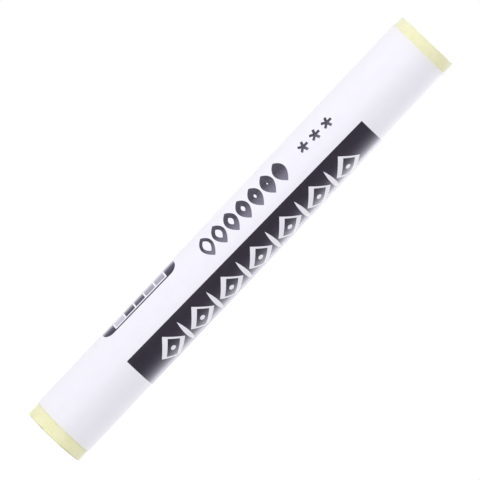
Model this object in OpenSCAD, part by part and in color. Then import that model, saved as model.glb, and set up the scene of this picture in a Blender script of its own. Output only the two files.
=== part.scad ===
// Soft pastel stick: a round bar of pressed pigment in a printed paper wrapper.
//
// The stick stands on its lower end. The origin is the centre of that end, +Z runs up the
// stick and -Y is the front, where the print is read. Print is set out in arc lengths round
// the wrapper from the front line, positive towards +X, and in heights along it.

/* [Pastel stick] */
// Diameter of the bare stick
stick_d = 9.5; // [8.5:0.1:14]
// Length of the stick
stick_len = 75; // [66:1:110]
// Radius of the soft edge round each end
end_round = 0.25; // [0.1:0.05:0.8]

/* [Paper wrapper] */
// Thickness of the paper
paper_t = 0.12; // [0.08:0.01:0.2]
// Air between the stick and its wrapper
wrap_gap = 0.02; // [0.01:0.01:0.06]
// Bare stick below the wrapper
bare_low = 2.0; // [1:0.1:5]
// Bare stick above the wrapper
bare_high = 1.7; // [1:0.1:5]
// Width of the glued overlap, along the arc
overlap_w = 3.0; // [1.5:0.1:4]
// Width of the stretch where the paper climbs onto the overlap, along the arc
climb_w = 0.7; // [0.3:0.1:0.8]
// Direction of the overlap's free edge, in degrees round from the front
seam_angle = 170; // [160:1:180]
// How far the paper is rolled askew, in degrees
skew = 1.0; // [-2:0.1:2]

/* [Printed band] */
// Thickness of the ink on the paper
ink_t = 0.03; // [0.02:0.01:0.05]
// Plain paper below the band and the badge
band_low = 12.8; // [8:0.1:16]
// Plain paper above the band
band_high = 12.5; // [8:0.1:16]
// Width of the band, along the arc
band_w = 7.0; // [6:0.1:7.4]
// Distance from the front line to the band
band_start = 0.75; // [0.3:0.05:1]

/* [Band ornament] */
// Clear black above and below the row of lozenges
ornament_margin = 3.1; // [1:0.1:6]
// Distance from one lozenge to the next
lozenge_pitch = 5.75; // [5.4:0.05:8]
// Length of a lozenge, up the stick
lozenge_len = 4.6; // [3:0.1:4.6]
// Height of a lozenge and a spindle, along the arc
lozenge_w = 5.1; // [3:0.1:5.4]
// Share of the lozenge taken by its thick strokes
thick_stroke = 0.46; // [0.3:0.02:0.6]
// Share of the lozenge taken by its thin strokes
thin_stroke = 0.18; // [0.1:0.02:0.3]
// Width of a spindle between two lozenges
spindle_len = 0.7; // [0.4:0.05:0.7]
// Diameter of the pellet in each lozenge
pellet_d = 0.8; // [0.4:0.05:1]

/* [Tone marks and stars] */
// Plain paper below the row of tone marks
marks_low = 30.7; // [28:0.1:33]
// Number of tone marks
mark_count = 7; // [3:1:7]
// Distance from one tone mark to the next
mark_pitch = 2.38; // [2.1:0.01:2.4]
// Length of a tone mark, up the stick
mark_len = 2.05; // [1.2:0.05:2.05]
// Height of a tone mark, along the arc
mark_w = 3.7; // [2.5:0.1:4.2]
// Size of the opening in the lightest tone mark, as a share of the mark
mark_opening = 0.56; // [0.4:0.02:0.7]
// Distance from the front line to the middle of the marks and stars
marks_start = 2.8; // [2.6:0.1:3.4]
// Plain paper between the last tone mark and the first star
star_gap = 2.9; // [1:0.1:4]
// Number of stars
star_count = 3; // [1:1:4]
// Distance from one star to the next
star_pitch = 2.25; // [1.8:0.05:2.4]
// Diameter of a star
star_d = 1.7; // [1:0.1:1.75]
// Width of a star's arms
star_arm = 0.4; // [0.2:0.02:0.4]

/* [Badge] */
// Length of the badge, up the stick
badge_len = 14.1; // [10:0.1:16]
// Width of the badge, along the arc
badge_w = 7.0; // [5:0.1:7]
// Distance from the front line to the badge
badge_start = 4.0; // [3.4:0.1:4.2]
// Radius of the badge's corners
badge_round = 1.4; // [0.6:0.1:2]
// Length of the solid cap at each end of the badge
badge_cap = 2.0; // [2:0.1:3]
// Thickness of the lines along the badge's sides
badge_line = 0.25; // [0.15:0.05:0.4]
// Number of grey steps in the badge
step_count = 5; // [2:1:6]
// Width of the white line between two fields of the badge
step_gap = 0.25; // [0.15:0.05:0.4]

/* [Hidden] */

$fn = 96;
past = 1;                     // how far a cutting shape runs past what it cuts
star_arms = 5;
step_greys = [0.78, 0.30, 0.34, 0.62, 0.66];  // from the badge's lower end up

stick_r = stick_d / 2;
bore_r = stick_r + wrap_gap;
paper_r = bore_r + paper_t;   // outside of one layer of paper
flap_r = paper_r + paper_t;   // outside of the overlap's second layer
wrap_len = stick_len - bare_low - bare_high;
wrap_mid = bare_low + wrap_len / 2;

overlap_angle = arc_angle(overlap_w);

band_len = wrap_len - band_low - band_high;
ornament_len = band_len - 2 * ornament_margin;
lozenge_count = floor((ornament_len - lozenge_len) / lozenge_pitch) + 1;

marks_len = (mark_count - 1) * mark_pitch + mark_len;
stars_low = marks_low + marks_len + star_gap + star_d / 2;

field_len = badge_len - 2 * badge_cap;
step_len = (field_len - (step_count + 1) * step_gap) / step_count;
step_w = badge_w - 2 * (badge_line + step_gap);

// Angle at the stick's axis that an arc on the paper spans, in degrees.
function arc_angle(arc) = arc / paper_r * 180 / PI;

// Half-width of the flat shape that prints out as this arc, half each side of its middle.
function flat_half(arc) = paper_r * sin(arc_angle(arc / 2));

// Point at a radius and an angle from +X.
function polar(radius, angle) = [radius * cos(angle), radius * sin(angle)];

// ---- pastel stick ----

// Half of the stick's lengthwise section.
module stick_section() {
    square([stick_r - end_round, stick_len]);
    translate([0, end_round]) square([stick_r, stick_len - 2 * end_round]);
    for (height = [end_round, stick_len - end_round])
        translate([stick_r - end_round, height]) circle(end_round);
}

module pastel_stick() {
    color("#F4F3C9")
        rotate_extrude()
            stick_section();
}

// ---- paper wrapper ----

// The second layer of the glued overlap, with its middle at +X. It climbs over the inner
// edge along a straight line, and ends at its free edge.
module overlap_section() {
    foot = polar(paper_r, -overlap_angle / 2 - arc_angle(climb_w));
    top = polar(flap_r, -overlap_angle / 2);
    intersection() {
        circle(flap_r);
        polygon([[0, 0], foot, foot + 3 * (top - foot), polar(2 * flap_r, overlap_angle / 2)]);
    }
}

// Section across the wrapper: one layer of paper, and two at the overlap.
module wrapper_section() {
    difference() {
        union() {
            circle(paper_r);
            overlap_section();
        }
        circle(bore_r);
    }
}

// Slab between the wrapper's lower and upper edges, askew as it was rolled.
module between_edges() {
    translate([0, 0, wrap_mid])
        rotate([0, skew, 0])
            cube([4 * flap_r, 4 * flap_r, wrap_len], center = true);
}

module paper_wrapper() {
    color("#F4F2FA")
        intersection() {
            rotate([0, 0, seam_angle - overlap_angle / 2 - 90])
                linear_extrude(stick_len)
                    wrapper_section();
            between_edges();
        }
}

// ---- print ----

// Thin layer of ink over the paper, in the shape of a flat drawing. The drawing's x runs
// round the wrapper and its y up it, and its middle is at that arc and height on the paper.
module printed(arc, height) {
    intersection() {
        difference() {
            cylinder(r = paper_r + ink_t, h = stick_len);
            translate([0, 0, -past]) cylinder(r = paper_r, h = stick_len + 2 * past);
        }
        rotate([0, 0, arc_angle(arc)])
            translate([0, 0, bare_low + height - arc * tan(skew)])
                rotate([0, skew, 0])
                    rotate([90, 0, 0])
                        linear_extrude(paper_r + past)
                            children();
    }
}

// Moves a drawing sideways as the skew does at a height above the wrapper's middle.
function leaned(arc, height) = arc + (height - wrap_len / 2) * tan(skew);

// Pointed oval where two equal circles cross, with its points on the x axis.
module pointed_oval(length, width) {
    bow = (length * length + width * width) / (4 * width);
    intersection_for(side = [-1, 1])
        translate([0, side * (bow - width / 2)]) circle(bow);
}

// Lozenge whose inside leaves these shares of it as thick and thin strokes.
module lozenge(thick, thin) {
    half_x = flat_half(lozenge_w);
    half_y = lozenge_len / 2;
    function corner(u, v) = [half_x * (u - v) / 2, half_y * (u + v) / 2];
    across = 1 - thick;
    along = 1 - thin;
    polygon([
        corner(across, along), corner(across, -along),
        corner(-across, -along), corner(-across, along)
    ]);
}

// White figures left clear in the band: lozenges with pellets, and spindles between them.
module ornament() {
    row_len = (lozenge_count - 1) * lozenge_pitch;
    for (i = [0 : lozenge_count - 1])
        translate([0, i * lozenge_pitch - row_len / 2]) {
            difference() {
                lozenge(0, 0);
                lozenge(thick_stroke, thin_stroke);
            }
            circle(d = pellet_d);
            if (i > 0)
                translate([0, -lozenge_pitch / 2])
                    pointed_oval(2 * flat_half(lozenge_w), spindle_len);
        }
}

module printed_band() {
    height = band_low + band_len / 2;
    color("#17151A")
        printed(leaned(band_start + band_w / 2, height), height)
            difference() {
                square([2 * flat_half(band_w), band_len], center = true);
                ornament();
            }
}

// Row of pointed ovals, from an open outline to a solid one.
module tone_marks() {
    color("#1D1A20")
        for (i = [0 : mark_count - 1]) {
            height = marks_low + mark_len / 2 + i * mark_pitch;
            opening = mark_opening * (1 - i / (mark_count - 1));
            printed(leaned(-marks_start, height), height)
                difference() {
                    pointed_oval(2 * flat_half(mark_w), mark_len);
                    if (opening > 0)
                        scale(opening) pointed_oval(2 * flat_half(mark_w), mark_len);
                }
        }
}

module star_marks() {
    color("#1D1A20")
        for (i = [0 : star_count - 1]) {
            height = stars_low + i * star_pitch;
            printed(leaned(-marks_start, height), height)
                for (arm = [0 : star_arms - 1])
                    rotate(arm * 360 / star_arms)
                        translate([-star_arm / 2, 0]) square([star_arm, star_d / 2]);
        }
}

// Rectangle with round corners, about its middle.
module rounded_plate(size, corner) {
    square([size.x, size.y - 2 * corner], center = true);
    square([size.x - 2 * corner, size.y], center = true);
    for (x = [-1, 1], y = [-1, 1])
        translate([x * (size.x / 2 - corner), y * (size.y / 2 - corner)]) circle(corner);
}

// Sets a drawing at the middle of the badge.
module on_badge() {
    height = band_low + badge_len / 2;
    printed(leaned(-badge_start - badge_w / 2, height), height)
        children();
}

module badge_frame() {
    color("#1D1A20")
        on_badge()
            difference() {
                rounded_plate([2 * flat_half(badge_w), badge_len], badge_round);
                square([2 * flat_half(badge_w - 2 * badge_line), field_len], center = true);
            }
}

module badge_steps() {
    for (i = [0 : step_count - 1]) {
        grey = step_greys[i % len(step_greys)];
        first = step_gap + step_len / 2 - field_len / 2;
        color([grey, grey, grey])
            on_badge()
                translate([0, first + i * (step_len + step_gap)])
                    square([2 * flat_half(step_w), step_len], center = true);
    }
}

pastel_stick();
paper_wrapper();
printed_band();
tone_marks();
star_marks();
badge_frame();
badge_steps();
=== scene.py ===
"""Soft pastel stick in its printed paper wrapper.

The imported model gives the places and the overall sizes. Each class builds one sub-assembly
over it: the pressed stick, the paper sheet rolled round it, and the fields of ink on the
sheet. Shapes are laid out in millimetres and turned into metres where they are finished.

The sheet and its print are drawn flat. In that drawing x is the arc round the sheet from the
front line, towards +X, y is the height above the sheet's lower edge, and z is the lift off
the paper's outer face. One node group rolls them all round the stick.
"""

import logging
import math
from abc import ABC, abstractmethod
from collections.abc import Callable, Mapping, Sequence
from dataclasses import dataclass, fields
from enum import Enum
from typing import NamedTuple

import bpy
import numpy as np
from mathutils import Matrix, Vector, noise


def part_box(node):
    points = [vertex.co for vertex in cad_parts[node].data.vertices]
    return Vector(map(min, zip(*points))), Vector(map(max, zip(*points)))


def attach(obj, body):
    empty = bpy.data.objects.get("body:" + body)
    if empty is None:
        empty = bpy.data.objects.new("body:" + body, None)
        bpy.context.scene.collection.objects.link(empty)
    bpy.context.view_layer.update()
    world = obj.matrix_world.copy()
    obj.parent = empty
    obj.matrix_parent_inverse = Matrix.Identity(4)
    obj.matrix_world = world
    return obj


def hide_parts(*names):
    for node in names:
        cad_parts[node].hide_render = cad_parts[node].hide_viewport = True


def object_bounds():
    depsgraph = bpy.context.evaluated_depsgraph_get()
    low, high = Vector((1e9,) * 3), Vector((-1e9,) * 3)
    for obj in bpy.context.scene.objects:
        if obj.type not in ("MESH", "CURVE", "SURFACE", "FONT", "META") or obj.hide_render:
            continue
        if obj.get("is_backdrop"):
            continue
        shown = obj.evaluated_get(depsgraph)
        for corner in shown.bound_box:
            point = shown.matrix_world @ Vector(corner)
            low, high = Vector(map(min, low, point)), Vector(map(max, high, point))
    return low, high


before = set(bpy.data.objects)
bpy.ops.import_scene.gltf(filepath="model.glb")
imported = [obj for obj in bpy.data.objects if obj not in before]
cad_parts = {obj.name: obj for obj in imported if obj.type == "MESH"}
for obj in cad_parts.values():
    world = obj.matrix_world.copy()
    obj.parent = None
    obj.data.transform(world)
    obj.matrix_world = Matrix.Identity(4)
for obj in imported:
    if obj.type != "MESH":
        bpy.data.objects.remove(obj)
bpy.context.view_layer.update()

MM = 0.001  # millimetres to metres
BODY = "root"
SHARP = math.radians(40)  # edges that turn by more than this stay crisp
WHITE = (1.0, 1.0, 1.0, 1.0)

Colour = tuple[float, float, float]
Span = tuple[float, float]
Sizes = dict[str, float | int]
Socket = bpy.types.NodeSocket

log = logging.getLogger("soft_pastel")


class Slot(Enum):
    """Material slots of the record."""

    PASTEL = "pastel"
    PAPER = "paper"
    BLACK_INK = "black_ink"
    GREY_INK = "grey_ink"


class Cut(Enum):
    """What the figures do to a plate of ink."""

    CLEAR = "DIFFERENCE"
    KEEP = "INTERSECT"


class Grain(NamedTuple):
    """Noise: the size of its grains, how many finer octaves it has, and their strength."""

    size: float
    detail: float = 2.0
    rough: float = 0.5


class Specks(NamedTuple):
    """Scattered round specks: their mean distance and their radius."""

    spacing: float
    radius: float


class Relief(NamedTuple):
    """Fine unevenness: its depth, and how much of it shows."""

    depth: float
    strength: float


# ---- node trees ----


def _operator(operation: str, swapped: bool = False) -> Callable[..., "Value"]:
    """Makes one of the things that a Value can do.

    Args:
        operation: Operation of the Math node.
        swapped: Whether the other number comes first.

    Returns:
        The method.
    """

    def method(value: "Value", *others: "Value | float") -> "Value":
        """Adds the Math node, and returns its result."""
        operands = (*others, value) if swapped else (value, *others)
        return value.graph.sum_up(operation, *operands)

    return method


class Value:
    """Number that a node tree works out. Arithmetic on it adds Math nodes to the tree."""

    __add__ = _operator("ADD")
    __radd__ = _operator("ADD", swapped=True)
    __sub__ = _operator("SUBTRACT")
    __rsub__ = _operator("SUBTRACT", swapped=True)
    __mul__ = _operator("MULTIPLY")
    __rmul__ = _operator("MULTIPLY", swapped=True)
    __truediv__ = _operator("DIVIDE")
    __rtruediv__ = _operator("DIVIDE", swapped=True)
    __mod__ = _operator("MODULO")
    __rmod__ = _operator("MODULO", swapped=True)
    __pow__ = _operator("POWER")
    __rpow__ = _operator("POWER", swapped=True)
    __abs__ = _operator("ABSOLUTE")
    least = _operator("MINIMUM")
    most = _operator("MAXIMUM")
    floor = _operator("FLOOR")
    sine = _operator("SINE")
    cosine = _operator("COSINE")

    def __init__(self, graph: "Graph", socket: Socket) -> None:
        """Wraps an output of one of a graph's nodes."""
        self.graph = graph
        self.socket = socket

    def eased(self, start: "Value | float", end: "Value | float") -> "Value":
        """Rises smoothly from 0 to 1.

        Args:
            start: Where it is 0.
            end: Where it is 1. It may lie below start.

        Returns:
            The eased number.
        """
        limits = {"Value": self, "From Min": start, "From Max": end}
        smooth = {"interpolation_type": "SMOOTHSTEP"}
        return Value(self.graph, self.graph.add("ShaderNodeMapRange", smooth, limits))


Entry = Value | Socket | bpy.types.ID | float | str | Sequence


class Graph:
    """Adds nodes to one tree."""

    def __init__(self, tree: bpy.types.NodeTree) -> None:
        """Starts on a tree."""
        self.tree = tree

    def add(
        self,
        kind: str,
        settings: Mapping[str, object] | None = None,
        sockets: Mapping[str | int, Entry] | None = None,
        output: str | int = 0,
    ) -> Socket | None:
        """Adds one node.

        Args:
            kind: The node's type.
            settings: Its properties, which are set first.
            sockets: What its inputs take, by name or by place. A list links several
                outputs to one input.
            output: Name or place of the output that is wanted.

        Returns:
            The output, or nothing if the node has none.
        """
        node = self.tree.nodes.new(kind)
        for name, setting in (settings or {}).items():
            setattr(node, name, setting)
        for key, entry in (sockets or {}).items():
            for part in entry if isinstance(entry, list) else [entry]:
                part = part.socket if isinstance(part, Value) else part
                if isinstance(part, Socket):
                    self.tree.links.new(part, node.inputs[key])
                else:
                    node.inputs[key].default_value = part
        return node.outputs[output] if node.outputs else None

    def sum_up(self, operation: str, *operands: Value | float) -> Value:
        """Result of a Math node."""
        numbers = dict(enumerate(operands))
        return Value(self, self.add("ShaderNodeMath", {"operation": operation}, numbers))

    def point(
        self, x: Value | float = 0.0, y: Value | float = 0.0, z: Value | float = 0.0
    ) -> Socket:
        """A vector from its three parts."""
        return self.add("ShaderNodeCombineXYZ", sockets={"X": x, "Y": y, "Z": z})

    def parts(self, vector: Socket) -> list[Value]:
        """The three parts of a vector."""
        first = self.add("ShaderNodeSeparateXYZ", sockets={"Vector": vector})
        return [Value(self, output) for output in first.node.outputs]

    def scaled(self, vector: Socket, factor: Value | float) -> Socket:
        """A vector times a number."""
        sockets = {"Vector": vector, "Scale": factor}
        return self.add("ShaderNodeVectorMath", {"operation": "SCALE"}, sockets)

    def grain(self, place: Socket, grain: Grain) -> Value:
        """Noise between 0 and 1 about 0.5, sized in the units of the coordinates."""
        sockets = {"Scale": 1 / grain.size, "Detail": grain.detail, "Roughness": grain.rough}
        return Value(self, self.add("ShaderNodeTexNoise", sockets={"Vector": place, **sockets}))

    def warped(self, place: Socket, size: float, reach: float) -> Socket:
        """Coordinates that wander, so that what is drawn with them is irregular.

        Args:
            place: Coordinates.
            size: Size of the wandering, in their units.
            reach: How far they wander.

        Returns:
            The changed coordinates.
        """
        sockets = {"Vector": place, "Scale": 1 / size}
        wander = self.add("ShaderNodeTexNoise", sockets=sockets, output="Color")
        sockets = {0: place, 1: self.scaled(wander, 2 * reach)}
        return self.add("ShaderNodeVectorMath", {"operation": "ADD"}, sockets)

    def specks(self, place: Socket, specks: Specks) -> Value:
        """Mask of scattered specks: 1 inside, 0 outside.

        Args:
            place: Coordinates that they read.
            specks: Their kind, sized in the units of the coordinates.

        Returns:
            The mask.
        """
        sockets = {"Vector": place, "Scale": 1 / specks.spacing}
        cells = Value(self, self.add("ShaderNodeTexVoronoi", sockets=sockets))
        reach = specks.radius / specks.spacing
        return cells.eased(reach, reach / 2)

    def blend(self, share: Value | float, *colours: Socket | Colour) -> Socket:
        """Mixes two colours.

        Args:
            share: Share of the second colour.
            colours: The two colours.

        Returns:
            The mixed colour.
        """
        first, second = [
            (*colour, 1.0) if isinstance(colour, tuple) else colour for colour in colours
        ]
        sockets = {0: share, 6: first, 7: second}
        return self.add("ShaderNodeMix", {"data_type": "RGBA"}, sockets, output=2)


def labelled(part: object, *names: str) -> Sizes:
    """A part's sizes under the names that a tree shows, such as "Edge curl"."""
    return {name.replace("_", " ").capitalize(): getattr(part, name) for name in names}


def shown(name: str, content: bpy.types.ID) -> bpy.types.Object:
    """Puts a mesh, a lamp or a camera in the scene.

    Args:
        name: Name of its object.
        content: What the object holds.

    Returns:
        The object.
    """
    holder = bpy.data.objects.new(name, content)
    bpy.context.scene.collection.objects.link(holder)
    return holder


class ShapeTree(Graph):
    """Geometry Nodes tree with named sizes, which are read as tree["Name"]."""

    def __init__(self, name: str, sizes: Sizes) -> None:
        """Makes the tree and its named inputs.

        Args:
            name: Name of the tree.
            sizes: Its inputs, with their values.
        """
        super().__init__(bpy.data.node_groups.new(name, "GeometryNodeTree"))
        self.sizes = sizes
        self.keys: dict[str, str] = {}
        add_socket = self.tree.interface.new_socket
        for label, size in sizes.items():
            kind = "NodeSocketInt" if isinstance(size, int) else "NodeSocketFloat"
            socket = add_socket(label, in_out="INPUT", socket_type=kind)
            socket.default_value = size
            self.keys[label] = socket.identifier
        for side in ("INPUT", "OUTPUT"):
            add_socket("Geometry", in_out=side, socket_type="NodeSocketGeometry")
        self.inputs = self.add("NodeGroupInput").node.outputs

    def __getitem__(self, label: str) -> Value:
        """The value of a named input."""
        return Value(self, self.inputs[label])

    def close(self, shape: Socket) -> None:
        """Gives the tree its result."""
        self.add("NodeGroupOutput", sockets={"Geometry": shape})

    def index(self) -> Value:
        """Number of the point or instance, from 0."""
        return Value(self, self.add("GeometryNodeInputIndex"))

    def position(self) -> Socket:
        """Position of each point."""
        return self.add("GeometryNodeInputPosition")

    def moved(self, shape: Socket, **place: Socket) -> Socket:
        """A shape with each point at a Position, or moved by an Offset."""
        return self.add("GeometryNodeSetPosition", sockets={"Geometry": shape, **place})

    def joined(self, *shapes: Socket) -> Socket:
        """Several shapes as one."""
        return self.add("GeometryNodeJoinGeometry", sockets={0: list(shapes)})

    def realized(self, shape: Socket) -> Socket:
        """Instances as real geometry."""
        return self.add("GeometryNodeRealizeInstances", sockets={"Geometry": shape})

    def stored(self, name: str, kind: str, domain: str, **sockets: Value | Socket) -> Socket:
        """A Geometry that carries a Value for its material, for each point or instance."""
        settings = {"data_type": kind, "domain": domain}
        return self.add("GeometryNodeStoreNamedAttribute", settings, {"Name": name, **sockets})

    def slab(self, size: Socket, columns: Value, rows: Value | int) -> Socket:
        """Closed slab about the origin, with rows and columns of points so that it can bend."""
        sockets = {"Size": size, "Vertices X": columns, "Vertices Y": rows, "Vertices Z": 2}
        return self.add("GeometryNodeMeshCube", sockets=sockets)

    def row(self, shape: Socket, count: Value, pitch: Value, **inputs: Value) -> Socket:
        """Copies of a shape in a row along y, about the origin.

        Args:
            shape: What is repeated.
            count: How many there are.
            pitch: Distance from one to the next.
            inputs: Other inputs of the copies, such as their Scale.

        Returns:
            The copies, as instances.
        """
        start = self.point(y=(1 - count) * pitch / 2)
        sockets = {"Count": count, "Start Location": start, "Offset": self.point(y=pitch)}
        line = self.add("GeometryNodeMeshLine", {"mode": "OFFSET"}, sockets)
        sockets = {"Points": line, "Instance": shape, **inputs}
        return self.add("GeometryNodeInstanceOnPoints", sockets=sockets)

    def outline(
        self, points: int, place: Callable[[Value, Value], tuple[Value, Value]]
    ) -> Socket:
        """Closed curve.

        Args:
            points: Number of its points.
            place: Gives a point's x and y from its number and from its angle round a circle.

        Returns:
            The curve.
        """
        sockets = {"Resolution": points, "Radius": 1.0}
        circle = self.add("GeometryNodeCurvePrimitiveCircle", sockets=sockets)
        angle = self.index() * (math.tau / points)
        return self.moved(circle, Position=self.point(*place(self.index(), angle)))

    def quadrilateral(self, mode: str, sockets: Mapping[str, Entry]) -> Socket:
        """Closed curve with four corners."""
        return self.add("GeometryNodeCurvePrimitiveQuadrilateral", {"mode": mode}, sockets)

    def prism(self, outlines: Socket, reach: float = 1.0, weld: float = 0.001) -> Socket:
        """Closed solid over flat outlines, which passes through the drawing's plane.

        Args:
            outlines: Closed curves; one inside another is a hole.
            reach: How far it goes to each side of the plane.
            weld: Distance under which its points are joined.

        Returns:
            The solid.
        """
        flat = self.add("GeometryNodeFillCurve", {"mode": "TRIANGLES"}, {0: outlines})
        base = self.moved(flat, Offset=self.point(z=-reach))
        sockets = {"Offset": self.point(z=1.0), "Offset Scale": 2 * reach, "Individual": False}
        walls = self.add("GeometryNodeExtrudeMesh", sockets={"Mesh": base, **sockets})
        shell = self.joined(walls, self.add("GeometryNodeFlipFaces", sockets={0: base}))
        sockets = {"Geometry": shell, "Distance": weld}
        return self.add("GeometryNodeMergeByDistance", sockets=sockets)

    def carved(self, plate: Socket, cut: Cut, figures: list[Socket]) -> Socket:
        """A plate with figures cut out of it, or cut down to figures.

        Args:
            plate: The plate.
            cut: Whether the figures are cleared or kept.
            figures: Closed solids through the plate.

        Returns:
            What is left of the plate, in triangles.
        """
        sockets = {"Mesh 2": [plate, *figures]}
        if cut is Cut.CLEAR:
            sockets = {"Mesh 1": plate, "Mesh 2": figures}
        settings = {"operation": cut.value, "solver": "EXACT"}
        left = self.add("GeometryNodeMeshBoolean", settings, sockets)
        return self.add("GeometryNodeTriangulate", sockets={0: left})

    def smoothed(self, shape: Socket) -> Socket:
        """Shades a shape smooth, apart from its sharp edges.

        Args:
            shape: The shape.

        Returns:
            The shaded shape.
        """
        sharp = Value(self, self.add("GeometryNodeInputMeshEdgeAngle")) - SHARP
        for domain, chosen, smooth in (("FACE", True, True), ("EDGE", sharp, False)):
            sockets = {0: shape, "Selection": chosen, "Shade Smooth": smooth}
            shape = self.add("GeometryNodeSetShadeSmooth", {"domain": domain}, sockets)
        return shape

    def make(self, name: str, shape: Socket, material: bpy.types.Material) -> bpy.types.Object:
        """Ends the tree, and turns its result into a piece with a plain mesh.

        Args:
            name: Name of the piece.
            shape: The tree's result.
            material: Finish of the piece.

        Returns:
            The piece.
        """
        sockets = {"Geometry": self.realized(shape), "Material": material}
        self.close(self.add("GeometryNodeSetMaterial", sockets=sockets))
        piece = shown(name, bpy.data.meshes.new(name))
        modifier = piece.modifiers.new(self.tree.name, "NODES")
        modifier.node_group = self.tree
        for label, size in self.sizes.items():
            modifier[self.keys[label]] = size
        evaluated = piece.evaluated_get(bpy.context.evaluated_depsgraph_get())
        mesh = bpy.data.meshes.new_from_object(evaluated)
        piece.modifiers.remove(modifier)
        piece.data = mesh
        return piece


# ---- finishes ----


def cleared(block: bpy.types.Material | bpy.types.World) -> Graph:
    """Clears the nodes of a material or a world.

    Args:
        block: The material or the world.

    Returns:
        Its graph.
    """
    block.use_nodes = True
    block.node_tree.nodes.clear()
    return Graph(block.node_tree)


def weighed(weights: Sequence[float], *parts: Value) -> Value:
    """Sum of several numbers, each times its weight."""
    first, *others = [part * weight for part, weight in zip(parts, weights)]
    return sum(others, first)


def object_place(graph: Graph) -> Socket:
    """Object coordinates in millimetres."""
    return graph.scaled(graph.add("ShaderNodeTexCoord", output="Object"), 1 / MM)


def carried(graph: Graph, name: str, output: str = "Fac") -> Socket:
    """What a mesh carries under a name: a number, or a place if the output is "Vector"."""
    return graph.add("ShaderNodeAttribute", {"attribute_name": name}, output=output)


def turned_away(graph: Graph) -> Value:
    """0 where the surface faces the viewer, and 1 where it is edge-on."""
    sockets = {"Blend": 0.5}
    return Value(graph, graph.add("ShaderNodeLayerWeight", sockets=sockets, output="Facing"))


class Gloss(NamedTuple):
    """Coat that glosses where a surface turns away, towards the stick's rims."""

    strength: float  # share that it would reach edge-on
    sharpness: float  # how late it sets in
    roughness: float = 0.5
    ior: float = 4.0

    def coat(self, graph: Graph) -> dict[str, Entry]:
        """Coat inputs of a surface."""
        share = (turned_away(graph) ** self.sharpness * self.strength).least(1.0)
        return {"Coat Weight": share, "Coat Roughness": self.roughness, "Coat IOR": self.ior}


class Finish(ABC):
    """Material of one of the stick's surfaces."""

    name: str
    relief: Relief
    roughness: Span  # least and most
    gloss: Gloss
    even: Mapping[str, float | tuple]  # inputs that are the same all over the surface

    @abstractmethod
    def surface(self, graph: Graph) -> Socket:
        """Adds the finish's nodes.

        Args:
            graph: Graph of the material.

        Returns:
            The shader.
        """

    def coated(self, graph: Graph, tint: Socket, grain: Value, height: Value) -> Socket:
        """Adds the coated surface that every finish has.

        Args:
            graph: Graph of the material.
            tint: Its colour.
            grain: How rough it is, from 0 to 1.
            height: Its height, from 0 to 1.

        Returns:
            The shader.
        """
        least, most = self.roughness
        relief = {"Distance": self.relief.depth * MM, "Strength": self.relief.strength}
        normal = graph.add("ShaderNodeBump", sockets={"Height": height, **relief})
        sockets = {"Base Color": tint, "Roughness": least + grain * (most - least)}
        sockets |= {"Normal": normal, **self.even, **self.gloss.coat(graph)}
        return graph.add("ShaderNodeBsdfPrincipled", sockets=sockets)

    def material(self) -> bpy.types.Material:
        """Makes the material.

        Returns:
            The material.
        """
        material = bpy.data.materials.new(self.name)
        graph = cleared(material)
        graph.add("ShaderNodeOutputMaterial", sockets={"Surface": self.surface(graph)})
        return material


@dataclass(frozen=True)
class PastelFinish(Finish):
    """Pressed pigment: quite matt, faintly mottled, with open grain and small pores, whose hollows
    are darkened with painted shade.
    """

    name: str = "pastel_pressed"
    colour: Colour = (0.912, 0.900, 0.594)
    # Painted shade: the darker colour given to hollows, pores and grain troughs.
    deep: Colour = (0.822, 0.812, 0.474)
    chalky: Colour = (0.952, 0.940, 0.700)
    mottle: Grain = Grain(1.3, 3.0, 0.55)
    mottle_range: Span = (0.38, 0.62)
    mottle_share: float = 0.5
    grain: Grain = Grain(0.16, 4.0, 0.7)
    grain_range: Span = (0.52, 0.30)
    pores: Specks = Specks(0.42, 0.06)
    grit: Specks = Specks(0.24, 0.045)
    grit_share: float = 0.6
    warp: Span = (0.12, 0.09)  # size and reach of the unevenness of pores and grit
    depths: Sequence[float] = (0.6, 0.4, 0.35)  # painted shade of hollows, pores and grain troughs, in the colour
    heights: Sequence[float] = (0.8, 0.2, 0.15, -0.35)  # of grain, mottle, grit and pores
    relief: Relief = Relief(0.08, 0.9)
    roughness: Span = (0.9, 1.0)
    gloss: Gloss = Gloss(1.6, 4.5, roughness=0.6)

    even = {
        "Specular IOR Level": 0.15,
        "Diffuse Roughness": 0.25,
        "Sheen Weight": 0.6,
        "Sheen Roughness": 0.4,
    }

    def surface(self, graph: Graph) -> Socket:
        """Adds the pastel's nodes.

        Args:
            graph: Graph of the material.

        Returns:
            The shader.
        """
        place = object_place(graph)
        mottle = graph.grain(place, self.mottle)
        grain = graph.grain(place, self.grain)
        uneven = graph.warped(place, *self.warp)
        pores = graph.specks(uneven, self.pores)
        grit = graph.specks(uneven, self.grit)
        # Painted shade: hollows, pores and the troughs of the grain darken towards the deep
        # colour.
        hollow = Value(graph, carried(graph, "hollow"))
        chalk = mottle.eased(*self.mottle_range) * self.mottle_share
        depth = weighed(self.depths, hollow, pores, grain.eased(*self.grain_range))
        tint = graph.blend(chalk, self.colour, self.chalky)
        tint = graph.blend(depth.least(1.0), tint, self.deep)
        tint = graph.blend(grit * self.grit_share, tint, self.chalky)
        height = weighed(self.heights, grain, mottle, grit, pores)
        return self.coated(graph, tint, grain, height)


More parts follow.
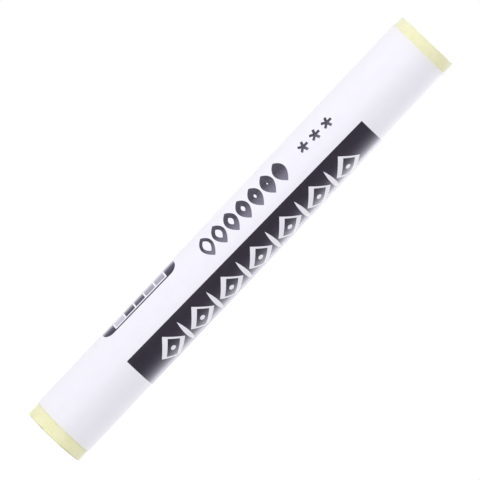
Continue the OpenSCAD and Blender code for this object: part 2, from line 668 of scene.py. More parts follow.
@dataclass(frozen=True)
class PaperFinish(Finish):
    """Smooth white label paper, a little cool, dusted by the stick near its ends."""

    length: float  # of the sheet
    name: str = "paper_label"
    colour: Colour = (0.900, 0.888, 0.958)
    thin: Colour = (0.882, 0.870, 0.940)
    dust: Colour = (0.880, 0.862, 0.640)
    cloud: Grain = Grain(1.6, 4.0, 0.55)
    cloud_range: Span = (0.35, 0.65)
    fibre: Grain = Grain(0.18, 3.0, 0.6)
    fibre_stretch: float = 5.0
    thinning: Sequence[float] = (0.6, 0.3)  # by clouds and by fibres
    smear: Grain = Grain(0.35, 4.0, 0.65)
    smear_range: Span = (0.34, 0.72)
    dust_reach: float = 1.3
    dust_share: float = 0.55
    heights: Sequence[float] = (0.6, 0.4)  # of fibres and clouds
    relief: Relief = Relief(0.02, 0.6)
    roughness: Span = (0.42, 0.54)
    gloss: Gloss = Gloss(0.9, 3.0)

    even = {"Specular IOR Level": 0.4, "Diffuse Roughness": 0.35}

    def surface(self, graph: Graph) -> Socket:
        """Adds the paper's nodes.

        Args:
            graph: Graph of the material.

        Returns:
            The shader.
        """
        place = object_place(graph)
        arc, height, _ = graph.parts(carried(graph, "sheet", "Vector"))
        cloud = graph.grain(place, self.cloud)
        fibres = graph.grain(graph.point(arc / self.fibre_stretch, height), self.fibre)
        smear = graph.grain(place, self.smear).eased(*self.smear_range)
        thinned = weighed(self.thinning, cloud.eased(*self.cloud_range), fibres)
        edge = height.least(self.length - height)
        dusted = edge.eased(self.dust_reach, 0.0) * smear * self.dust_share
        tint = graph.blend(dusted, graph.blend(thinned, self.colour, self.thin), self.dust)
        return self.coated(graph, tint, fibres, weighed(self.heights, fibres, cloud))


@dataclass(frozen=True)
class InkFinish(Finish):
    """Black ink with a slight sheen and a few pinholes. As it stands, it is a solid print."""

    name: str = "ink_black"
    colour: Colour = (0.0070, 0.0022, 0.0095)
    thin: Colour = (0.0110, 0.0060, 0.0145)
    pinhole: Colour = (0.260, 0.250, 0.280)
    cloud: Grain = Grain(1.1, 3.0, 0.6)
    thin_range: Span = (0.4, 0.65)
    grain: Grain = Grain(0.12, 2.0, 0.6)
    pins: Specks = Specks(1.6, 0.055)
    relief: Relief = Relief(0.006, 0.2)
    roughness: Span = (0.44, 0.50)
    specular: float = 0.33
    gloss: Gloss = Gloss(3.2, 2.9)
    glare: Span = (0.52, 1.65)  # how far the ink turns away where glare starts, and is full
    glare_roughness: float = 0.3

    sheen = {
        "Sheen Weight": 0.42,
        "Sheen Roughness": 0.5,
        "Sheen Tint": (0.48, 0.46, 1.0, 1.0),
    }

    @property
    def even(self) -> dict[str, float | tuple]:
        """Inputs that are the same all over the ink."""
        return {"Specular IOR Level": self.specular, **self.sheen}

    def tint(self, graph: Graph, cloud: Value) -> Socket:
        """Colour of the ink between its pinholes, where a noise gives its patches."""
        return graph.blend(cloud.eased(*self.thin_range), self.colour, self.thin)

    def surface(self, graph: Graph) -> Socket:
        """Adds the ink's nodes, and the glare on it where it turns out of sight.

        Args:
            graph: Graph of the material.

        Returns:
            The shader.
        """
        place = object_place(graph)
        cloud = graph.grain(place, self.cloud)
        pins = graph.specks(place, self.pins)
        tint = graph.blend(pins, self.tint(graph, cloud), self.pinhole)
        ink = self.coated(graph, tint, cloud, graph.grain(place, self.grain))
        sockets = {"Base Color": WHITE, "Metallic": 1.0, "Roughness": self.glare_roughness}
        mirror = graph.add("ShaderNodeBsdfPrincipled", sockets=sockets)
        sockets = {0: turned_away(graph).eased(*self.glare), 1: ink, 2: mirror}
        return graph.add("ShaderNodeMixShader", sockets=sockets)


@dataclass(frozen=True)
class StampedInkFinish(InkFinish):
    """Ink of the small marks. It is speckled, and pales towards the front with a painted sheen."""

    name: str = "ink_stamped"
    colour: Colour = (0.012, 0.008, 0.018)
    thin: Colour = (0.034, 0.028, 0.052)
    # Painted sheen: the paler purple-grey that the marks turn to towards the front.
    faded: Colour = (0.172, 0.158, 0.222)
    pinhole: Colour = (0.300, 0.290, 0.330)
    cloud: Grain = Grain(0.30, 3.0, 0.6)
    pins: Specks = Specks(0.55, 0.06)
    roughness: Span = (0.36, 0.42)
    specular: float = 0.45
    gloss: Gloss = Gloss(0.8, 2.9)
    fade: Span = (-3.2, -1.3)  # arcs where the painted sheen is absent, and where it is full
    patchiness: float = 0.5

    def tint(self, graph: Graph, cloud: Value) -> Socket:
        """Colour of the ink, which pales towards the front with a painted sheen, broken by random
        patches.

        Args:
            graph: Graph of the material.
            cloud: Noise of the ink's patches.

        Returns:
            The colour.
        """
        arc = graph.parts(carried(graph, "sheet", "Vector"))[0]
        # Painted sheen that rises towards the front, mixed with the ink's random patches.
        fade = (arc.eased(*self.fade) + (cloud - 0.5) * self.patchiness).least(1.0)
        return graph.blend(fade.most(0.0), super().tint(graph, cloud), self.faded)


@dataclass(frozen=True)
class BadgeInkFinish(InkFinish):
    """Black ink of the badge, which turns furthest away and glares most."""

    name: str = "ink_badge"
    gloss: Gloss = Gloss(0.4, 2.9)
    glare: Span = (0.52, 0.9)


@dataclass(frozen=True)
class GreyInkFinish(BadgeInkFinish):
    """Grey ink of the badge. Each field's tone comes with its mesh."""

    name: str = "ink_grey"
    colour: Colour = (0.600, 0.588, 0.655)
    darkest: Colour = (0.016, 0.012, 0.022)
    pinhole: Colour = (0.760, 0.745, 0.810)
    cloud: Grain = Grain(0.8, 3.0, 0.6)
    roughness: Span = (0.40, 0.46)
    specular: float = 0.3
    patchiness: float = 0.08

    def tint(self, graph: Graph, cloud: Value) -> Socket:
        """Grey of the field, with faint patches."""
        tone = Value(graph, carried(graph, "tone")) + (cloud - 0.5) * self.patchiness
        return graph.blend(tone, self.colour, self.darkest)


# ---- pieces ----


def settle(piece: bpy.types.Object, node: str) -> bpy.types.Object:
    """Lets a finished piece stand for its CAD node.

    Args:
        piece: The piece.
        node: The node that it replaces.

    Returns:
        The piece.
    """
    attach(piece, BODY)
    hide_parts(node)
    return piece


@dataclass(frozen=True)
class Scoops:
    """Round hollows of one kind, in the stick's sides near its ends."""

    count: int
    reach: float  # how far from an end they lie, at most
    radius: Span
    depth: Span  # as a share of the radius
    hollow: float  # how much painted shade they give the colour


@dataclass
class PastelStick:
    """The pressed stick. Its sides and ends are a little worn where they are bare."""

    seed: int = 11
    columns: int = 256
    face_rows: int = 34
    edge_rows: int = 9
    bare_rows: int = 26
    hidden_rows: int = 8
    bare: float = 2.8  # length of the finely divided side at each end
    edge: float = 0.18  # radius of the soft edge
    edge_range: Span = (0.08, 0.5)
    edge_wander: float = 0.6
    edge_waves: int = 11
    grain: float = 0.35
    grain_octaves: tuple[float, float, int] = (1.0, 2.0, 3)  # smoothness, step and count
    grain_range: Span = (-0.5, 0.9)
    grain_depth: float = 0.016
    dent: float = 2.4
    dent_range: Span = (-0.4, 0.6)
    dent_depth: float = 0.035
    pits: Scoops = Scoops(52, 1.7, (0.09, 0.22), (0.4, 0.7), 1.0)
    chips: Scoops = Scoops(14, 0.0, (0.35, 0.95), (0.10, 0.24), 0.5)

    node = "pastel_stick"

    def build(self) -> bpy.types.Object:
        """Builds the stick.

        Returns:
            The piece.
        """
        lowest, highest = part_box(self.node)
        self.radius = highest.x / MM
        self.length = (highest.z - lowest.z) / MM
        generator = np.random.default_rng(self.seed)
        lower, lower_facing = self._end(generator)
        upper, upper_facing = self._end(generator)
        upper = self._mirrored(upper)
        upper_facing = upper_facing * np.array([1, 1, -1])
        shares = np.linspace(0, 1, self.hidden_rows + 2)[1:-1, None, None]
        between = lower[-1] * (1 - shares) + upper[-1] * shares
        between_facing = np.repeat(lower_facing[-1:], self.hidden_rows, axis=0)
        rings = np.concatenate([lower, between, upper[::-1]])
        facing = np.concatenate([lower_facing, between_facing, upper_facing[::-1]])
        depth, hollow = self._wear(rings, generator)
        mesh = self._mesh(rings - facing * depth[..., None], hollow)
        mesh.materials.append(PastelFinish().material())
        return settle(shown("pressed_stick", mesh), self.node)

    def _mirrored(self, rings: np.ndarray) -> np.ndarray:
        """Turns a lower end into an upper end."""
        return rings * np.array([1, 1, -1]) + np.array([0, 0, self.length])

    def _end(self, generator: np.random.Generator) -> tuple[np.ndarray, np.ndarray]:
        """Rings of one end, from its middle out over its edge and up the side.

        Args:
            generator: Source of the edge's wander.

        Returns:
            Points and the directions they face, by ring and column.
        """
        turns = np.arange(self.columns) * (math.tau / self.columns)
        wander = sum(
            generator.uniform(-1, 1) * np.cos(wave * turns + generator.uniform(0, math.tau)) / wave
            for wave in range(1, self.edge_waves + 1)
        )
        edge = np.clip(self.edge * (1 + self.edge_wander * wander), *self.edge_range)
        rings = [
            ((self.radius - edge) * share, np.zeros_like(edge), 0.0)
            for share in np.linspace(0, 1, self.face_rows + 1)[1:-1]
        ]
        rings += [
            (self.radius - edge + edge * math.sin(tip), edge * (1 - math.cos(tip)), tip)
            for tip in np.linspace(0, math.pi / 2, self.edge_rows)
        ]
        rings += [
            (np.full_like(edge, self.radius), edge + (self.bare - edge) * share, math.pi / 2)
            for share in np.linspace(0, 1, self.bare_rows + 1)[1:]
        ]
        radius, height, tip = [np.array(part) for part in zip(*rings)]
        across, up = np.cos(turns), np.sin(turns)
        points = np.stack([radius * across, radius * up, height], axis=-1)
        facing = np.sin(tip)[:, None, None] * np.stack([across, up, 0 * turns], axis=-1)
        facing[..., 2] -= np.cos(tip)[:, None]
        return points, facing

    def _wear(
        self, points: np.ndarray, generator: np.random.Generator
    ) -> tuple[np.ndarray, np.ndarray]:
        """How far the surface lies below its true form.

        Args:
            points: Points of the surface.
            generator: Source of the pits and chips.

        Returns:
            Depth of each point, and the painted shade that its hollows give it, from 0 to 1.
        """
        shape = points.shape[:2]
        spots = [Vector(point) for point in points.reshape(-1, 3)]
        grain = [noise.fractal(spot / self.grain, *self.grain_octaves) for spot in spots]
        dents = [noise.noise(spot / self.dent) for spot in spots]
        depth = np.zeros(shape)
        for rises, (low, high), deep in (
            (grain, self.grain_range, self.grain_depth),
            (dents, self.dent_range, self.dent_depth),
        ):
            depth += (np.clip(np.reshape(rises, shape), low, high) - low) * deep
        hollow = np.zeros(shape)
        for kind in (self.pits, self.chips):
            for _ in range(kind.count):
                height = generator.uniform(0.0, kind.reach) if kind.reach else 0.0
                centre = self._spot(generator, height)
                radius = generator.uniform(*kind.radius)
                far = np.linalg.norm(points - centre, axis=-1) / radius
                scoop = np.clip(1 - far * far, 0, 1) ** 2
                depth += scoop * generator.uniform(*kind.depth) * radius
                hollow = np.maximum(hollow, scoop * kind.hollow)
        return depth, hollow

    def _spot(self, generator: np.random.Generator, height: float) -> np.ndarray:
        """Picks a place on the side, at a distance from one of the ends.

        Args:
            generator: Source of the choice.
            height: Distance from the end.

        Returns:
            The place.
        """
        turn = generator.uniform(0, math.tau)
        spot = np.array([self.radius * math.cos(turn), self.radius * math.sin(turn), height])
        return spot if generator.random() < 0.5 else self._mirrored(spot)

    @staticmethod
    def _mesh(rings: np.ndarray, hollow: np.ndarray) -> bpy.types.Mesh:
        """Closed mesh over the rings, with a middle point on each end.

        Args:
            rings: Points by ring and column, from the lower end's middle to the upper's.
            hollow: Painted shade that each point's hollows give it, from 0 to 1.

        Returns:
            The mesh, in metres.
        """
        rows, columns = rings.shape[:2]
        number = np.arange(rows * columns).reshape(rows, columns)
        beside = np.roll(number, -1, axis=1)
        quads = np.stack([number[:-1], beside[:-1], beside[1:], number[1:]], axis=-1)
        faces = quads.reshape(-1, 4).tolist()
        bottom, top = rows * columns, rows * columns + 1
        faces += [(bottom, after, here) for here, after in zip(number[0], beside[0])]
        faces += [(top, here, after) for here, after in zip(number[-1], beside[-1])]
        middles = [[0, 0, rings[row, :, 2].mean()] for row in (0, -1)]
        points = np.concatenate([rings.reshape(-1, 3), middles]) * MM
        mesh = bpy.data.meshes.new("pressed_stick")
        mesh.from_pydata(points.tolist(), [], [tuple(map(int, face)) for face in faces])
        mesh.shade_smooth()
        # Painted shade of the hollows, which the pastel's colour reads.
        attribute = mesh.attributes.new("hollow", "FLOAT", "POINT")
        attribute.data.foreach_set("value", np.append(hollow.ravel(), [0, 0]).astype(np.float32))
        mesh.validate()
        return mesh


class Field(NamedTuple):
    """Size of a printed field, and the place of its middle in the sheet's flat drawing."""

    width: float
    length: float
    arc: float
    height: float


@dataclass
class Wrapper:
    """The paper sheet, rolled once round the stick a little askew and glued at the back."""

    paper: float = 0.12
    skew: float = math.radians(1.0)
    seam: float = math.radians(170.0)  # where the free edge lies, round from the front
    overlap: float = 3.0
    climb: float = 0.7  # arc over which the sheet climbs onto itself
    glue: float = 0.006
    edge_curl: float = 0.035
    edge_reach: float = 0.9
    end_curl: float = 0.03
    end_reach: float = 1.1
    curl_play: float = 1.6  # how strongly the ripples make the curls vary
    wave: float = 0.006
    waves: Grain = Grain(8.0, 1.0)
    ripples: Grain = Grain(2.0, 2.0)
    columns: int = 220
    rows: int = 110
    crowding: float = 0.8  # how much closer the rows lie at the sheet's ends

    node = "paper_wrapper"

    def __post_init__(self) -> None:
        """Reads the sheet's size and place from the frame, and makes the rolling group."""
        lowest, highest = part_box(self.node)
        self.lean = math.tan(self.skew)
        self.layer = self.paper + self.glue
        self.radius = -lowest.y / MM
        self.low = lowest.z / MM + highest.x / MM * self.lean
        self.length = highest.z / MM + lowest.x / MM * self.lean - self.low
        self.free_edge = self.seam * self.radius
        self.inner_edge = self.free_edge - self.overlap - math.tau * self.radius
        self.group = self._rolling()

    def _rolling(self) -> bpy.types.NodeTree:
        """Makes the node group that rolls a flat drawing round the stick.

        Returns:
            The group.
        """
        sizes = labelled(self, "radius", "low", "length", "lean", "free_edge", "overlap")
        sizes |= labelled(self, "climb", "layer", "edge_curl", "edge_reach", "end_curl")
        sizes |= labelled(self, "end_reach", "wave", "curl_play")
        tree = ShapeTree("roll_round_stick", sizes)
        arc, height, lift = tree.parts(tree.position())
        radius, length = tree["Radius"], tree["Length"]
        angle = (arc + (height - length / 2) * tree["Lean"]) / radius
        z = tree["Low"] + height - arc * tree["Lean"]
        across, forward = angle.sine(), angle.cosine()
        on_stick = tree.point(across * radius, forward * radius * -1, z)
        waves = (tree.grain(on_stick, self.waves) - 0.5) * 2 * tree["Wave"]
        ripples = tree.grain(on_stick, self.ripples)
        foot = tree["Free edge"] - tree["Overlap"]
        climbed = arc.eased(foot - tree["Climb"], foot) * tree["Layer"]
        curls = [
            (1 - distance / tree[f"{side} reach"]).most(0.0) ** 2 * tree[f"{side} curl"]
            for side, distance in (
                ("Edge", tree["Free edge"] - arc),
                ("End", height.least(length - height)),
            )
        ]
        curled = (curls[0] + curls[1]) * ripples * tree["Curl play"]
        out = radius + lift + climbed + waves + curled
        rolled = tree.scaled(tree.point(across * out, forward * out * -1, z), MM)
        sockets = {"Geometry": tree.inputs["Geometry"], "Value": tree.position()}
        drawing = tree.stored("sheet", "FLOAT_VECTOR", "POINT", **sockets)
        tree.close(tree.smoothed(tree.moved(drawing, Position=rolled)))
        return tree.tree

    def rolled(self, tree: ShapeTree, flat: Socket) -> Socket:
        """Rolls a flat drawing round the stick, and gives it in metres."""
        return tree.add("GeometryNodeGroup", {"node_tree": self.group}, {"Geometry": flat})

    def field(self, node: str) -> Field:
        """Unrolls a printed node's solids.

        Args:
            node: The node.

        Returns:
            Its size and place on the flat sheet.
        """
        points = np.array([vertex.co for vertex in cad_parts[node].data.vertices]) / MM
        turned = np.arctan2(points[:, 0], -points[:, 1]) * self.radius
        raised = points[:, 2] - self.low - self.length / 2
        arc = (turned - raised * self.lean) / (1 + self.lean * self.lean)
        height = raised + arc * self.lean + self.length / 2
        low, high = (np.array([pick(arc), pick(height)]) for pick in (np.min, np.max))
        return Field(*(high - low), *((low + high) / 2))

    def build(self) -> bpy.types.Object:
        """Builds the sheet.

        Returns:
            The piece.
        """
        names = ("inner_edge", "free_edge", "length", "paper", "columns", "rows", "crowding")
        tree = ShapeTree("wrapper_sheet", labelled(self, *names))
        left, right = tree["Inner edge"], tree["Free edge"]
        length, paper = tree["Length"], tree["Paper"]
        size = tree.point(right - left, length, paper)
        sheet = tree.slab(size, tree["Columns"], tree["Rows"])
        x, y, z = tree.parts(tree.position())
        share = y / length + 0.5
        crowd = (share * math.tau).sine() * tree["Crowding"] / math.tau
        place = tree.point(x + (left + right) / 2, (share - crowd) * length, z - paper / 2)
        rolled = self.rolled(tree, tree.moved(sheet, Position=place))
        piece = tree.make("rolled_wrapper", rolled, PaperFinish(self.length).material())
        return settle(piece, self.node)


@dataclass
class InkField(ABC):
    """A field of ink on the sheet: a thin plate, cut to its figures and rolled with the paper."""

    sheet: Wrapper
    finish: bpy.types.Material
    slot: Slot = Slot.BLACK_INK
    ink: float = 0.010  # ink above the paper
    bite: float = 0.004  # ink below the paper's face
    cell: float = 0.25  # size of a plate's cells along the arc
    cell_up: float = 0.6  # and up the stick

    node = ""
    cut = Cut.KEEP

    def sizes(self) -> Sizes:
        """Named inputs of the figures: the sizes that the field's own class adds."""
        shared = {entry.name for entry in fields(InkField)}
        return labelled(self, *(entry.name for entry in fields(self) if entry.name not in shared))

    @abstractmethod
    def figures(self, tree: ShapeTree) -> list[Socket]:
        """Solids that cut the plate.

        Args:
            tree: Tree of the piece.

        Returns:
            Closed solids about the middle of the field.
        """

    def flat(self, tree: ShapeTree) -> Socket:
        """Draws the ink before it is rolled.

        Args:
            tree: Tree of the piece.

        Returns:
            The ink, about the middle of its field.
        """
        size = tree.point(tree["Width"], tree["Length"], tree["Ink"])
        plate = tree.slab(size, tree["Columns"], tree["Rows"])
        return tree.carved(plate, self.cut, self.figures(tree))

    def build(self) -> bpy.types.Object:
        """Builds the ink field.

        Returns:
            The piece.
        """
        self.area = self.sheet.field(self.node)
        sizes = {
            "Width": self.area.width,
            "Length": self.area.length,
            "Ink": self.ink + self.bite,
            "Bite": self.bite,
            "Columns": round(self.area.width / self.cell) + 1,
            "Rows": round(self.area.length / self.cell_up) + 1,
            "Middle arc": self.area.arc,
            "Middle height": self.area.height,
        }
        tree = ShapeTree(self.node, sizes | self.sizes())
        lift = tree["Ink"] / 2 - tree["Bite"]
        middle = tree.point(tree["Middle arc"], tree["Middle height"], lift)
        placed = tree.moved(self.flat(tree), Offset=middle)
        piece = tree.make(f"ink_{self.node}", self.sheet.rolled(tree, placed), self.finish)
        return settle(piece, self.node)


def leaf(tree: ShapeTree, length: Value, width: Value, points: int = 48) -> Socket:
    """Outline of a pointed oval with its points on the x axis.

    Args:
        tree: Tree that it is drawn in.
        length: Distance between its points.
        width: Its greatest width.
        points: Number of points in the outline.

    Returns:
        The closed curve.
    """

    def place(_: Value, angle: Value) -> tuple[Value, Value]:
        """Point of the outline at an angle."""
        across, up = angle.cosine(), angle.sine()
        return across * length / 2, up * abs(up) * width / 2

    return tree.outline(points, place)


@dataclass
class Band(InkField):
    """The black band. Lozenges with pellets, and spindles between them, are left clear."""

    pitch: float = 5.75
    margin: float = 3.1
    lozenge_length: float = 4.6
    lozenge_width: float = 5.1
    thick_stroke: float = 0.46
    thin_stroke: float = 0.18
    spindle: float = 0.7
    pellet: float = 0.8

    node = "printed_band"
    cut = Cut.CLEAR
    pellet_points = 20

    def figures(self, tree: ShapeTree) -> list[Socket]:
        """Draws the row of lozenges and the row of spindles.

        Args:
            tree: Tree of the piece.

        Returns:
            Both rows.
        """
        pitch, pellet = tree["Pitch"], tree["Pellet"]
        room = tree["Length"] - tree["Margin"] * 2 - tree["Lozenge length"]
        count = (room / pitch).floor() + 1
        rings = tree.joined(
            self._outline(tree, 1.0, 1.0),
            self._outline(tree, 1 - tree["Thick stroke"], 1 - tree["Thin stroke"]),
            tree.outline(
                self.pellet_points,
                lambda _, angle: (angle.cosine() * pellet / 2, angle.sine() * pellet / 2),
            ),
        )
        spindle = leaf(tree, tree["Lozenge width"], tree["Spindle"])
        return [
            tree.realized(tree.row(tree.prism(outlines), number, pitch))
            for outlines, number in ((rings, count), (spindle, count - 1))
        ]

    @staticmethod
    def _outline(tree: ShapeTree, across: Value | float, along: Value | float) -> Socket:
        """Outline of a lozenge, or of its inside where the shares are below 1.

        Args:
            tree: Tree that it is drawn in.
            across: Share of the lozenge between its thick strokes.
            along: Share of the lozenge between its thin strokes.

        Returns:
            The closed curve.
        """
        half_x, half_y = tree["Lozenge width"] / 2, tree["Lozenge length"] / 2
        corners = [(1, 1), (1, -1), (-1, -1), (-1, 1)]
        points = {
            f"Point {number}": tree.point(
                half_x * (across * u - along * v) / 2, half_y * (across * u + along * v) / 2
            )
            for number, (u, v) in enumerate(corners, 1)
        }
        return tree.quadrilateral("POINTS", points)


@dataclass
class ToneMarks(InkField):
    """Row of pointed ovals, from an open outline to a solid one."""

    marks: int = 7
    mark_length: float = 2.05
    opening: float = 0.56

    node = "tone_marks"

    def figures(self, tree: ShapeTree) -> list[Socket]:
        """Draws the row of marks, each with its opening.

        Args:
            tree: Tree of the piece.

        Returns:
            The row.
        """
        count, length = tree["Marks"], tree["Mark length"]
        pitch = (tree["Length"] - length) / (count - 1)
        mark = leaf(tree, tree["Width"], length)
        left = count - 1 - tree.index()
        scale = tree["Opening"] * left / (count - 1)
        openings = tree.row(mark, count, pitch, Scale=scale, Selection=left)
        outlines = tree.joined(tree.row(mark, count, pitch), openings)
        return [tree.prism(tree.realized(outlines))]


@dataclass
class Stars(InkField):
    """Row of small stars with straight arms."""

    cell: float = 0.2
    cell_up: float = 0.3
    stars: int = 3
    diameter: float = 1.7
    arm: float = 0.40

    node = "star_marks"
    arms = 5
    corners = 3  # of each arm: two at its tip, and one between it and the next
    half_turn = math.pi / arms  # from the middle of an arm to the gap beside it

    def figures(self, tree: ShapeTree) -> list[Socket]:
        """Draws the row of stars.

        Args:
            tree: Tree of the piece.

        Returns:
            The row.
        """
        top = tree["Diameter"] / 2
        foot = top * math.cos(self.half_turn)
        pitch = (tree["Length"] - top - foot) / (tree["Stars"] - 1)
        star = tree.outline(self.corners * self.arms, lambda number, _: self._corner(tree, number))
        row = tree.row(star, tree["Stars"], pitch)
        stars = tree.prism(tree.realized(row))
        return [tree.moved(stars, Offset=tree.point(y=(foot - top) / 2))]

    def _corner(self, tree: ShapeTree, number: Value) -> tuple[Value, Value]:
        """Corner of a star's outline.

        Args:
            tree: Tree that it is drawn in.
            number: Number of the corner.

        Returns:
            The corner's x and y.
        """
        half = tree["Arm"] / 2
        corner = number % self.corners
        turn = (number - corner) * (2 * self.half_turn / self.corners)
        between = (corner - 1).most(0.0)
        reach = tree["Diameter"] / 2 * (1 - between) + between * half / math.tan(self.half_turn)
        side = (corner * 2 - 1).least(1.0) * half
        return (
            side * turn.cosine() + reach * turn.sine(),
            reach * turn.cosine() - side * turn.sine(),
        )


@dataclass
class BadgeFrame(InkField):
    """Dark frame of the badge: a rounded plate round a clear field."""

    cap: float = 2.0
    line: float = 0.25
    corner: float = 1.4
    corner_points: int = 10

    node = "badge_frame"

    def figures(self, tree: ShapeTree) -> list[Socket]:
        """Draws the frame.

        Args:
            tree: Tree of the piece.

        Returns:
            The frame, with its clear field as a hole.
        """
        width, length = tree["Width"], tree["Length"]
        inside = {"Width": width - tree["Line"] * 2, "Height": length - tree["Cap"] * 2}
        plate = tree.quadrilateral("RECTANGLE", {"Width": width, "Height": length})
        clear = tree.quadrilateral("RECTANGLE", inside)
        sockets = {"Curve": plate, "Radius": tree["Corner"], "Count": tree["Corner points"]}
        rounded = tree.add("GeometryNodeFilletCurve", {"mode": "POLY"}, sockets)
        return [tree.prism(tree.joined(rounded, clear))]


@dataclass
class BadgeSteps(InkField):
    """Fields in the badge, in tones from light to dark grey."""

    slot: Slot = Slot.GREY_INK
    tones: Sequence[float] = (0.0, 1.0, 0.96, 0.42, 0.34)  # from 0, light, to 1, dark
    gap: float = 0.25

    node = "badge_steps"

    def sizes(self) -> Sizes:
        """Named inputs of the steps."""
        tones = {f"Tone {number}": tone for number, tone in enumerate(self.tones)}
        return {"Steps": len(self.tones), "Gap": self.gap, **tones}

    def figures(self, tree: ShapeTree) -> list[Socket]:
        """None: the steps are plain plates."""
        return []

    def flat(self, tree: ShapeTree) -> Socket:
        """Draws the row of steps, each with its tone.

        Args:
            tree: Tree of the piece.

        Returns:
            The steps, about the middle of their field.
        """
        count, gap = tree["Steps"], tree["Gap"]
        length = (tree["Length"] - gap * (count - 1)) / count
        rows = round(self.area.length / len(self.tones) / self.cell_up) + 1
        size = tree.point(tree["Width"], length, tree["Ink"])
        index = tree.index()
        tones = [
            (1 - abs(index - number)).most(0.0) * tree[f"Tone {number}"]
            for number in range(len(self.tones))
        ]
        row = tree.row(tree.slab(size, tree["Columns"], rows), count, length + gap)
        sockets = {"Geometry": row, "Value": sum(tones[1:], tones[0])}
        return tree.realized(tree.stored("tone", "FLOAT", "INSTANCE", **sockets))


# ---- studio ----


@dataclass(frozen=True)
class Softbox:
    """Flat lamp that faces the middle of the stick. Angles are in degrees."""

    name: str
    azimuth: float
    elevation: float
    wide: float
    tall: float
    radiance: float
    distance: float = 1.5

    def build(self, target: Vector) -> None:
        """Hangs the lamp.

        Args:
            target: Point that it faces.
        """
        lamp = bpy.data.lights.new(self.name, "AREA")
        lamp.shape = "RECTANGLE"
        lamp.size = 2 * self.distance * math.tan(math.radians(self.wide / 2))
        lamp.size_y = 2 * self.distance * math.tan(math.radians(self.tall / 2))
        lamp.energy = self.radiance * math.pi * lamp.size * lamp.size_y
        azimuth, elevation = math.radians(self.azimuth), math.radians(self.elevation)
        level = math.cos(elevation)
        away = Vector(
            (math.sin(azimuth) * level, -math.cos(azimuth) * level, math.sin(elevation))
        )
        holder = shown(self.name, lamp)
        holder.location = target + away * self.distance
        holder.rotation_euler = away.to_track_quat("Z", "Y").to_euler()
        holder.visible_camera = False


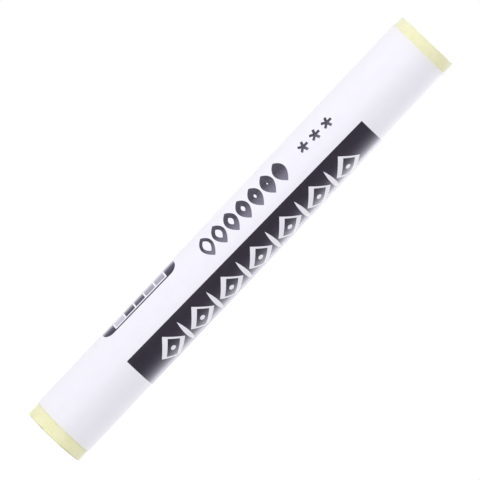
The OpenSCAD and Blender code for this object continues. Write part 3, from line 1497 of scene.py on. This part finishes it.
@dataclass(frozen=True)
class Studio:
    """Plain pale studio round the standing stick."""

    distance: float = 1.0  # from the stick's axis to the camera
    camera_height: float = 0.075
    lens: float = 546.0
    film: float = 36.0
    clip: Span = (0.01, 20.0)
    roll: float = math.radians(43.31)
    aim_right: float = -0.00007
    aim_up: float = -0.00015
    light: float = 0.60
    white: float = 1.0
    floor_half: float = 0.6
    floor_colour: float = 0.8
    floor_glow: float = 0.47
    softboxes: Sequence[Softbox] = (
        Softbox("left_softbox", -62.0, 16.0, 40.0, 32.0, 1.45),
        Softbox("key_softbox", -14.0, 12.0, 24.0, 30.0, 4.45),
        Softbox("rim_softbox", 127.0, 10.0, 62.0, 20.0, 2.6),
    )

    def build(self) -> None:
        """Builds the floor, the world, the lamps and the camera."""
        lowest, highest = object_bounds()
        middle = Vector((0, 0, (lowest.z + highest.z) / 2))
        self._floor()
        self._world()
        for softbox in self.softboxes:
            softbox.build(middle)
        self._camera(middle)
        bpy.context.scene.view_settings.view_transform = "Standard"

    @staticmethod
    def _by_ray(graph: Graph, lighting: Socket, seen: Socket) -> Socket:
        """One shader that lights the stick, and another that is seen.

        Args:
            graph: Graph of the material or the world.
            lighting: Shader for the light that it casts.
            seen: Shader for the camera, also in a reflection or through glass.

        Returns:
            The shader.
        """
        camera, glossy, through = [
            Value(graph, graph.add("ShaderNodeLightPath", output=f"Is {kind} Ray"))
            for kind in ("Camera", "Glossy", "Transmission")
        ]
        sockets = {0: camera.most(glossy).most(through), 1: lighting, 2: seen}
        return graph.add("ShaderNodeMixShader", sockets=sockets)

    def _floor(self) -> None:
        """Lays the pale floor that the stick stands on."""
        half = self.floor_half
        mesh = bpy.data.meshes.new("studio_floor")
        corners = [(-half, -half, 0), (half, -half, 0), (half, half, 0), (-half, half, 0)]
        mesh.from_pydata(corners, [], [(0, 1, 2, 3)])
        material = bpy.data.materials.new("studio_floor")
        graph = cleared(material)
        pale = (self.floor_colour,) * 3 + (1.0,)
        matt = graph.add("ShaderNodeBsdfDiffuse", sockets={"Color": pale})
        glow = graph.add("ShaderNodeEmission", sockets={"Strength": self.floor_glow})
        bright = graph.add("ShaderNodeAddShader", sockets={0: matt, 1: glow})
        surface = self._by_ray(graph, matt, bright)
        graph.add("ShaderNodeOutputMaterial", sockets={"Surface": surface})
        mesh.materials.append(material)
        floor = shown("studio_floor", mesh)
        floor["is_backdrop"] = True

    def _world(self) -> None:
        """Makes white surroundings, which light the stick more softly than they look."""
        world = bpy.data.worlds.new("studio_world")
        graph = cleared(world)
        dim, bright = [
            graph.add("ShaderNodeBackground", sockets={"Color": WHITE, "Strength": strength})
            for strength in (self.light, self.white)
        ]
        surface = self._by_ray(graph, dim, bright)
        graph.add("ShaderNodeOutputWorld", sockets={"Surface": surface})
        bpy.context.scene.world = world

    def _camera(self, middle: Vector) -> None:
        """Camera in front of the stick, turned so that the stick leans across the frame.

        Args:
            middle: Middle of the stick.
        """
        place = Vector((0, -self.distance, self.camera_height))
        forward = (middle - place).normalized()
        level_right = forward.cross(Vector((0, 0, 1))).normalized()
        level_up = level_right.cross(forward)
        up = level_up * math.cos(self.roll) - level_right * math.sin(self.roll)
        right = forward.cross(up)
        target = middle + right * self.aim_right + up * self.aim_up
        forward = (target - place).normalized()
        right = forward.cross(up).normalized()
        up = right.cross(forward)
        camera = shown("studio_camera", bpy.data.cameras.new("studio_camera"))
        camera.data.lens = self.lens
        camera.data.sensor_width = self.film
        camera.data.clip_start, camera.data.clip_end = self.clip
        turned = Matrix((right, up, -forward)).transposed().to_4x4()
        camera.matrix_world = Matrix.Translation(place) @ turned
        bpy.context.scene.camera = camera


def report(piece: bpy.types.Object, node: str) -> None:
    """Logs a piece's number of triangles and how far its box lies from its CAD node's.

    Args:
        piece: The finished piece.
        node: The node that it stands for.
    """
    points = np.array([vertex.co for vertex in piece.data.vertices])
    lowest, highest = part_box(node)
    apart = max(
        np.abs(points.min(axis=0) - np.array(lowest)).max(),
        np.abs(points.max(axis=0) - np.array(highest)).max(),
    )
    triangles = sum(len(face.vertices) - 2 for face in piece.data.polygons)
    log.info("%s: %d triangles, box within %.3f mm of %s", piece.name, triangles, apart / MM, node)


def main() -> None:
    """Builds the stick, its wrapper, the print and the studio."""
    logging.basicConfig(level=logging.INFO, format="%(name)s: %(message)s")
    wrapper = Wrapper()
    stamped = StampedInkFinish().material()
    parts = [
        PastelStick(),
        wrapper,
        Band(wrapper, InkFinish().material()),
        ToneMarks(wrapper, stamped),
        Stars(wrapper, stamped),
        BadgeFrame(wrapper, BadgeInkFinish().material()),
        BadgeSteps(wrapper, GreyInkFinish().material()),
    ]
    for part in parts:
        report(part.build(), part.node)
    Studio().build()


if __name__ == "__main__":
    main()
